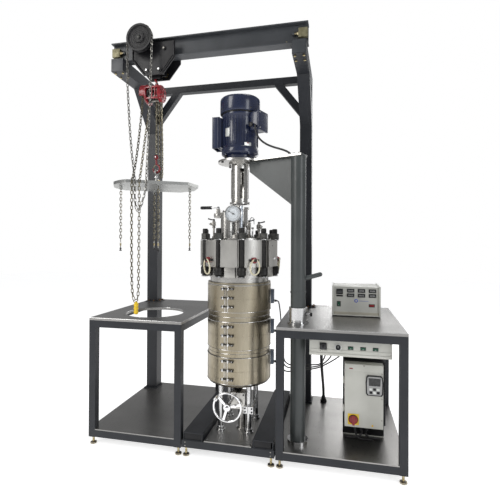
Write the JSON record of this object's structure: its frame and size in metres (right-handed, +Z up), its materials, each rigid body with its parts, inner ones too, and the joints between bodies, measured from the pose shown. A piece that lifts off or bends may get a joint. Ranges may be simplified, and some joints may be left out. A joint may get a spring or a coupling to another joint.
{
  "type": "floor-stand stirred pressure reactor",
  "caption": "Floor-stand stirred reactor with heater, studded closure, handwheel vessel jack, swing-arm motor, side tables, control boxes and an overhead gantry with trolley and chain hoist.",
  "frame": {"origin": "centre of the footprint at floor level", "axes": "front is -Y, right is +X, up is +Z"},
  "size_m": [2.184, 1.07, 3.116],
  "materials": {
    "frame_paint": "semi-gloss powder coat",
    "beam_paint": "semi-gloss paint",
    "post_paint": "semi-gloss powder coat",
    "stainless_sheet": "brushed stainless sheet",
    "zinc_steel": "yellow zinc plating",
    "bright_steel": "polished and plated",
    "machined_steel": "turned stainless steel",
    "ring_steel": "ground stainless steel",
    "cream_case": "satin enamel",
    "black_cable": "satin cable sheath",
    "black_paint": "gloss black paint",
    "wheel_steel": "worn cast steel",
    "chain_steel": "zinc-plated chain",
    "red_paint": "gloss red paint",
    "plate_aluminium": "machined aluminium",
    "dark_steel": "dark stainless fittings",
    "chrome": "polished chrome",
    "heater_steel": "heat-tinted stainless sheet",
    "black_oxide": "black oxide",
    "gauge_steel": "polished stainless",
    "pointer_black": "matt black",
    "black_plastic": "matt moulded plastic",
    "ring_cream": "cream paint",
    "motor_blue": "gloss navy enamel",
    "red_plastic": "gloss moulded plastic",
    "green_rocker": "translucent green rocker"
  },
  "bodies": {
    "stand": {"left_table_frame": "frame_paint", "right_table_frame": "frame_paint", "table_tops": "stainless_sheet", "shelves": "stainless_sheet", "base_frame": "frame_paint", "levelling_feet": "zinc_steel", "gantry_frame": "frame_paint", "trolley_beam": "beam_paint", "bearing_collars": "bright_steel", "jack_housing": "machined_steel", "power_panel": "cream_case", "controller_case": "cream_case", "cabinet_box": "cream_case", "power_cables": "black_cable"},
    "trolley": {"trolley_frame": "black_paint", "hand_chains": "chain_steel", "hoist_body": "red_paint"},
    "left_wheel_set": {"left_wheels": "wheel_steel"},
    "right_wheel_set": {"right_wheels": "wheel_steel"},
    "travel_chain_wheel": {"travel_wheel": "black_paint"},
    "hoist_chain_wheel": {"hoist_wheel": "wheel_steel"},
    "hook": {"load_hook": "red_paint", "load_chain": "chain_steel", "spreader_plate": "plate_aluminium", "lifting_chains": "chain_steel"},
    "lift": {"lift_posts": "bright_steel", "vessel": "machined_steel", "heater_bands": "heater_steel", "heater_fittings": "dark_steel", "clamp_ring": "ring_steel", "clamp_studs": "black_oxide", "vessel_head": "machined_steel", "valve_bodies": "dark_steel", "gauge_case": "gauge_steel"},
    "screw": {"jack_screw": "dark_steel"},
    "jack_handwheel": {"handwheel": "chrome"},
    "pointer": {"gauge_pointer": "pointer_black"},
    "main_lever": {"main_valve_lever": "black_plastic"},
    "left_lever": {"left_valve_lever": "black_plastic"},
    "front_lever": {"front_valve_lever": "black_plastic"},
    "right_lever": {"right_valve_lever": "black_plastic"},
    "drain_handle": {"drain_lever": "black_plastic"},
    "ring_1": {"lifting_ring_1": "ring_cream"},
    "ring_2": {"lifting_ring_2": "ring_cream"},
    "ring_3": {"lifting_ring_3": "ring_cream"},
    "ring_4": {"lifting_ring_4": "ring_cream"},
    "stirrer_shaft": {"stirrer": "machined_steel"},
    "swing": {"swing_post": "post_paint", "motor": "motor_blue", "guard_tube": "machined_steel", "motor_cable": "black_cable"},
    "motor_shaft": {"drive_shaft": "dark_steel"},
    "door": {"cabinet_door": "cream_case"},
    "disconnect": {"disconnect_switch": "red_plastic"},
    "knob": {"speed_knob": "black_plastic"},
    "rocker_1": {"panel_rocker_1": "green_rocker"},
    "rocker_2": {"panel_rocker_2": "green_rocker"},
    "rocker_3": {"panel_rocker_3": "green_rocker"},
    "case_rocker": {"controller_rocker": "green_rocker"},
    "button": {"controller_button": "red_plastic"}
  },
  "joints": [
    {"name": "trolley_travel", "type": "slide", "parent": "stand", "child": "trolley", "axis": [1, 0, 0], "range_m": [-0.065, 0.04]},
    {"name": "left_wheels_turn", "type": "hinge", "parent": "trolley", "child": "left_wheel_set", "pos_m": [-0.808, -0.145, 2.9475], "axis": [0, 1, 0], "range_deg": [-90, 55]},
    {"name": "right_wheels_turn", "type": "hinge", "parent": "trolley", "child": "right_wheel_set", "pos_m": [-0.628, -0.145, 2.9475], "axis": [0, 1, 0], "range_deg": [-90, 55]},
    {"name": "travel_wheel_turn", "type": "hinge", "parent": "trolley", "child": "travel_chain_wheel", "pos_m": [-0.799, -0.275, 3.012], "axis": [0, 1, 0], "range_deg": [-190, 310]},
    {"name": "hook_lift", "type": "slide", "parent": "trolley", "child": "hook", "axis": [0, 0, 1], "range_m": [-0.46, 0], "deforming": ["load_chain"]},
    {"name": "hoist_wheel_turn", "type": "hinge", "parent": "trolley", "child": "hoist_chain_wheel", "pos_m": [-0.806, -0.145, 2.622], "axis": [1, 0, 0], "range_deg": [-2120, 10]},
    {"name": "vessel_lift", "type": "slide", "parent": "stand", "child": "lift", "axis": [0, 0, 1], "range_m": [-0.06, 0]},
    {"name": "jack_screw_turn", "type": "hinge", "parent": "stand", "child": "screw", "pos_m": [-0.002, -0.203, 0.363], "axis": [0, 0, 1], "range_deg": [-2170, 10]},
    {"name": "handwheel_turn", "type": "hinge", "parent": "stand", "child": "jack_handwheel", "pos_m": [-0.042, -0.465, 0.363], "axis": [0, 1, 0], "range_deg": [-2170, 10]},
    {"name": "gauge_pointer_turn", "type": "hinge", "parent": "lift", "child": "pointer", "pos_m": [-0.059, -0.274, 1.668], "axis": [0, 1, 0], "range_deg": [0, 270]},
    {"name": "main_valve_turn", "type": "hinge", "parent": "lift", "child": "main_lever", "pos_m": [-0.196, -0.187, 1.719], "axis": [0, 0, 1], "range_deg": [0, 90]},
    {"name": "left_valve_turn", "type": "hinge", "parent": "lift", "child": "left_lever", "pos_m": [-0.232, -0.18, 1.63], "axis": [0, 0, 1], "range_deg": [0, 90]},
    {"name": "front_valve_turn", "type": "hinge", "parent": "lift", "child": "front_lever", "pos_m": [0.046, -0.215, 1.617], "axis": [0, 0, 1], "range_deg": [0, 90]},
    {"name": "right_valve_turn", "type": "hinge", "parent": "lift", "child": "right_lever", "pos_m": [0.114, -0.197, 1.605], "axis": [0, 0, 1], "range_deg": [0, 90]},
    {"name": "drain_valve_turn", "type": "hinge", "parent": "lift", "child": "drain_handle", "pos_m": [-0.082, -0.145, 0.395], "axis": [1, 0, 0], "range_deg": [0, 90]},
    {"name": "lifting_ring_1_swing", "type": "hinge", "parent": "lift", "child": "ring_1", "pos_m": [-0.21653, -0.3766, 1.34], "axis": [-0.7986, 0.6018, 0], "range_deg": [0, 80]},
    {"name": "lifting_ring_2_swing", "type": "hinge", "parent": "lift", "child": "ring_2", "pos_m": [0.12434, -0.38255, 1.34], "axis": [-0.8192, -0.5736, 0], "range_deg": [0, 80]},
    {"name": "lifting_ring_3_swing", "type": "hinge", "parent": "lift", "child": "ring_3", "pos_m": [0.23533, -0.06021, 1.34], "axis": [0.2924, -0.9563, 0], "range_deg": [0, 80]},
    {"name": "lifting_ring_4_swing", "type": "hinge", "parent": "lift", "child": "ring_4", "pos_m": [-0.03694, 0.14496, 1.34], "axis": [0.9998, -0.0175, 0], "range_deg": [0, 80]},
    {"name": "swing_arm", "type": "hinge", "parent": "stand", "child": "swing", "pos_m": [0.41, -0.303, 1], "axis": [0, 0, 1], "range_deg": [-60, 90]},
    {"name": "motor_shaft_spin", "type": "hinge", "parent": "swing", "child": "motor_shaft", "pos_m": [-0.042, -0.145, 1.9], "axis": [0, 0, 1], "continuous": true},
    {"name": "stirrer_spin", "type": "hinge", "parent": "lift", "child": "stirrer_shaft", "pos_m": [-0.042, -0.145, 1], "axis": [0, 0, 1], "continuous": true},
    {"name": "cabinet_door_swing", "type": "hinge", "parent": "stand", "child": "door", "pos_m": [0.714, -0.26, 0.446], "axis": [0, 0, 1], "range_deg": [-110, 0]},
    {"name": "disconnect_turn", "type": "hinge", "parent": "door", "child": "disconnect", "pos_m": [0.777, -0.285, 0.288], "axis": [0, 1, 0], "range_deg": [0, 90]},
    {"name": "speed_knob_turn", "type": "hinge", "parent": "stand", "child": "knob", "pos_m": [0.677, -0.415, 0.792], "axis": [0, 1, 0], "range_deg": [0, 270]},
    {"name": "panel_rocker_1_tilt", "type": "hinge", "parent": "stand", "child": "rocker_1", "pos_m": [0.754, -0.405, 0.792], "axis": [1, 0, 0], "range_deg": [0, 8]},
    {"name": "panel_rocker_2_tilt", "type": "hinge", "parent": "stand", "child": "rocker_2", "pos_m": [0.831, -0.405, 0.792], "axis": [1, 0, 0], "range_deg": [0, 8]},
    {"name": "panel_rocker_3_tilt", "type": "hinge", "parent": "stand", "child": "rocker_3", "pos_m": [0.906, -0.405, 0.792], "axis": [1, 0, 0], "range_deg": [0, 8]},
    {"name": "controller_rocker_tilt", "type": "hinge", "parent": "stand", "child": "case_rocker", "pos_m": [0.681, 0.041, 1.007], "axis": [1, 0, 0], "range_deg": [0, 8]},
    {"name": "controller_button_press", "type": "slide", "parent": "stand", "child": "button", "axis": [0, 1, 0], "range_m": [0, 0.003], "stiffness_N_per_m": 300}
  ],
  "couplings": [
    {"joint": "left_wheels_turn", "follows": "trolley_travel", "rad_per_m": 22.222},
    {"joint": "right_wheels_turn", "follows": "trolley_travel", "rad_per_m": 22.222},
    {"joint": "travel_wheel_turn", "follows": "trolley_travel", "rad_per_m": -80.952},
    {"joint": "hoist_wheel_turn", "follows": "hook_lift", "rad_per_m": 80},
    {"joint": "jack_screw_turn", "follows": "vessel_lift", "rad_per_m": 628.32},
    {"joint": "handwheel_turn", "follows": "vessel_lift", "rad_per_m": 628.32},
    {"joint": "stirrer_spin", "follows": "motor_shaft_spin", "ratio": 1}
  ]
}
